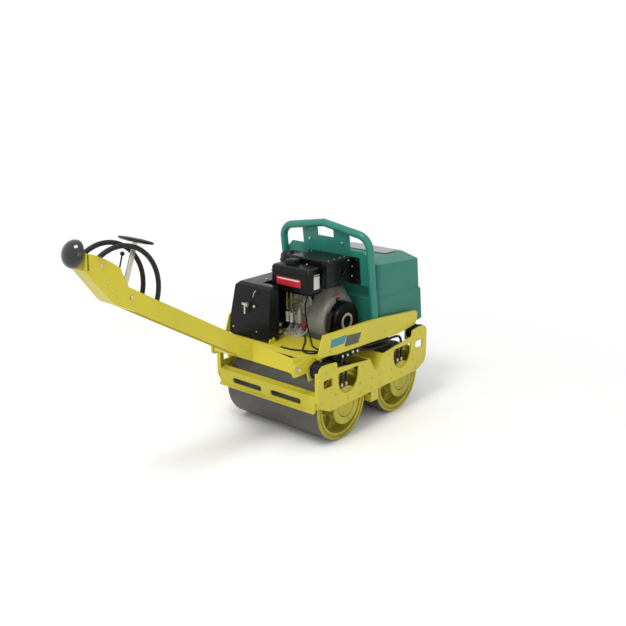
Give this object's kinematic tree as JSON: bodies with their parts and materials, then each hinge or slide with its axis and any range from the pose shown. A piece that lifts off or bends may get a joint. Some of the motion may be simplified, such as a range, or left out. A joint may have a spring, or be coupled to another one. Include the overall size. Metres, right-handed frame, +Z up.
{
  "type": "walk behind vibratory roller",
  "caption": "Pedestrian double drum vibratory roller with a sprung engine deck, water tank, guard hoop and a tilting drawbar with hand rings.",
  "frame": {"origin": "on the ground under the middle of the whole machine, drawbar included", "axes": "+X forward, away from the operator and the drawbar; +Y to the machine's left; +Z up"},
  "size_m": [2.206, 0.7294, 1.2512],
  "materials": {
    "yellow_paint": "satin",
    "green_paint": "satin",
    "drum_steel": "worn",
    "bare_steel": "satin",
    "zinc_steel": "zinc plated",
    "cast_grey": "rough",
    "cowl_grey": "satin",
    "alloy": "as cast",
    "black_paint": "satin",
    "green_moulding": "moulded",
    "grey_plastic": "moulded",
    "black_plastic": "moulded",
    "gloss_black": "gloss",
    "white_plastic": "moulded",
    "red_plastic": "moulded",
    "rubber": "matte"
  },
  "bodies": {
    "machine": {"right_side_plate": "yellow_paint", "left_side_plate": "yellow_paint", "rear_cross_plate": "yellow_paint", "front_cross_plate": "yellow_paint", "centre_channel": "yellow_paint", "scraper_beam": "yellow_paint", "scraper_blades": "rubber", "axle_carriers": "yellow_paint", "drum_bearings": "bare_steel", "travel_motors": "yellow_paint", "vibration_motors": "yellow_paint", "rubber_buffers": "rubber", "frame_bolts": "zinc_steel", "engine_deck": "yellow_paint", "tank_cradle": "yellow_paint", "right_rail": "yellow_paint", "left_rail": "yellow_paint", "buffer_brackets": "yellow_paint", "pivot_bolts": "zinc_steel", "hoop_tube": "green_paint", "hoop_plate": "green_paint", "water_tank": "green_moulding", "tank_lid": "grey_plastic", "sprinkler_pipes": "black_plastic", "crankcase": "cast_grey", "engine_cylinder": "cast_grey", "cylinder_head": "alloy", "fan_housing": "cowl_grey", "recoil_cover": "black_paint", "starter_grip": "rubber", "hydraulic_pump": "cast_grey", "injection_pump": "alloy", "fuel_filter": "white_plastic", "oil_cap": "red_plastic", "fuel_tank": "black_paint", "silencer_box": "black_paint", "silencer_flange": "black_paint", "air_cleaner": "black_plastic", "pump_cover": "black_paint", "oil_tank": "black_paint", "hydraulic_hoses": "rubber"},
    "rear_drum": {"rear_drum_shell": "drum_steel", "rear_drum_core": "yellow_paint"},
    "front_drum": {"front_drum_shell": "drum_steel", "front_drum_core": "yellow_paint"},
    "rear_exciter": {"rear_exciter_shaft": "bare_steel"},
    "front_exciter": {"front_exciter_shaft": "bare_steel"},
    "crank": {"flywheel_fan": "cast_grey", "crankshaft": "bare_steel"},
    "throttle": {"throttle_lever": "zinc_steel"},
    "fuel_filler_cap": {"fuel_cap": "black_plastic"},
    "water_filler_cap": {"tank_cap": "black_plastic"},
    "latch": {"cover_latch": "zinc_steel"},
    "drawbar": {"drawbar_arm": "yellow_paint", "drawbar_fork": "yellow_paint", "hand_rings": "rubber"},
    "travel_control": {"travel_lever": "zinc_steel", "lever_grip": "black_plastic"},
    "vibration_control": {"vibration_lever": "black_plastic"},
    "stop_control": {"stop_button": "gloss_black"}
  },
  "joints": [
    {"name": "drawbar_tilt", "type": "hinge", "parent": "machine", "child": "drawbar", "pos_m": [-0.01266, 0, 0.467], "axis": [0, 1, 0], "range_deg": [0, 60]},
    {"name": "rear_drum_roll", "type": "hinge", "parent": "machine", "child": "rear_drum", "pos_m": [0.29984, 0, 0.2], "axis": [0, 1, 0], "continuous": true},
    {"name": "front_drum_roll", "type": "hinge", "parent": "machine", "child": "front_drum", "pos_m": [0.80684, 0, 0.2], "axis": [0, 1, 0], "continuous": true},
    {"name": "rear_exciter_spin", "type": "hinge", "parent": "machine", "child": "rear_exciter", "pos_m": [0.29984, 0, 0.2], "axis": [0, 1, 0], "continuous": true},
    {"name": "front_exciter_spin", "type": "hinge", "parent": "machine", "child": "front_exciter", "pos_m": [0.80684, 0, 0.2], "axis": [0, 1, 0], "continuous": true},
    {"name": "crank_spin", "type": "hinge", "parent": "machine", "child": "crank", "pos_m": [0.49534, 0, 0.582], "axis": [0, 1, 0], "continuous": true},
    {"name": "throttle_turn", "type": "hinge", "parent": "machine", "child": "throttle", "pos_m": [0.37104, 0.088, 0.63572], "axis": [1, 0, 0], "range_deg": [-25, 25]},
    {"name": "fuel_cap_turn", "type": "hinge", "parent": "machine", "child": "fuel_filler_cap", "pos_m": [0.32178, 0.034, 0.897], "axis": [0, 0, 1], "range_deg": [0, 90]},
    {"name": "tank_cap_turn", "type": "hinge", "parent": "machine", "child": "water_filler_cap", "pos_m": [0.72552, 0.15, 0.89187], "axis": [0, 0, 1], "range_deg": [0, 90]},
    {"name": "cover_latch_turn", "type": "hinge", "parent": "machine", "child": "latch", "pos_m": [0.13392, 0.19, 0.686], "axis": [1, 0, 0], "range_deg": [0, 90]},
    {"name": "travel_lever_tilt", "type": "hinge", "parent": "drawbar", "child": "travel_control", "pos_m": [-0.82662, 0, 0.97099], "axis": [0, 1, 0], "range_deg": [-8, 8], "stiffness_Nm_per_rad": 20},
    {"name": "vibration_lever_tilt", "type": "hinge", "parent": "drawbar", "child": "vibration_control", "pos_m": [-0.84662, 0.024, 0.99199], "axis": [0, 1, 0], "range_deg": [-8, 8]},
    {"name": "stop_button_push", "type": "slide", "parent": "drawbar", "child": "stop_control", "axis": [0.9336, 0, -0.3584], "range_m": [0, 0.01], "stiffness_N_per_m": 1500}
  ],
  "couplings": [
    {"joint": "front_drum_roll", "follows": "rear_drum_roll", "ratio": 1},
    {"joint": "front_exciter_spin", "follows": "rear_exciter_spin", "ratio": 1}
  ]
}
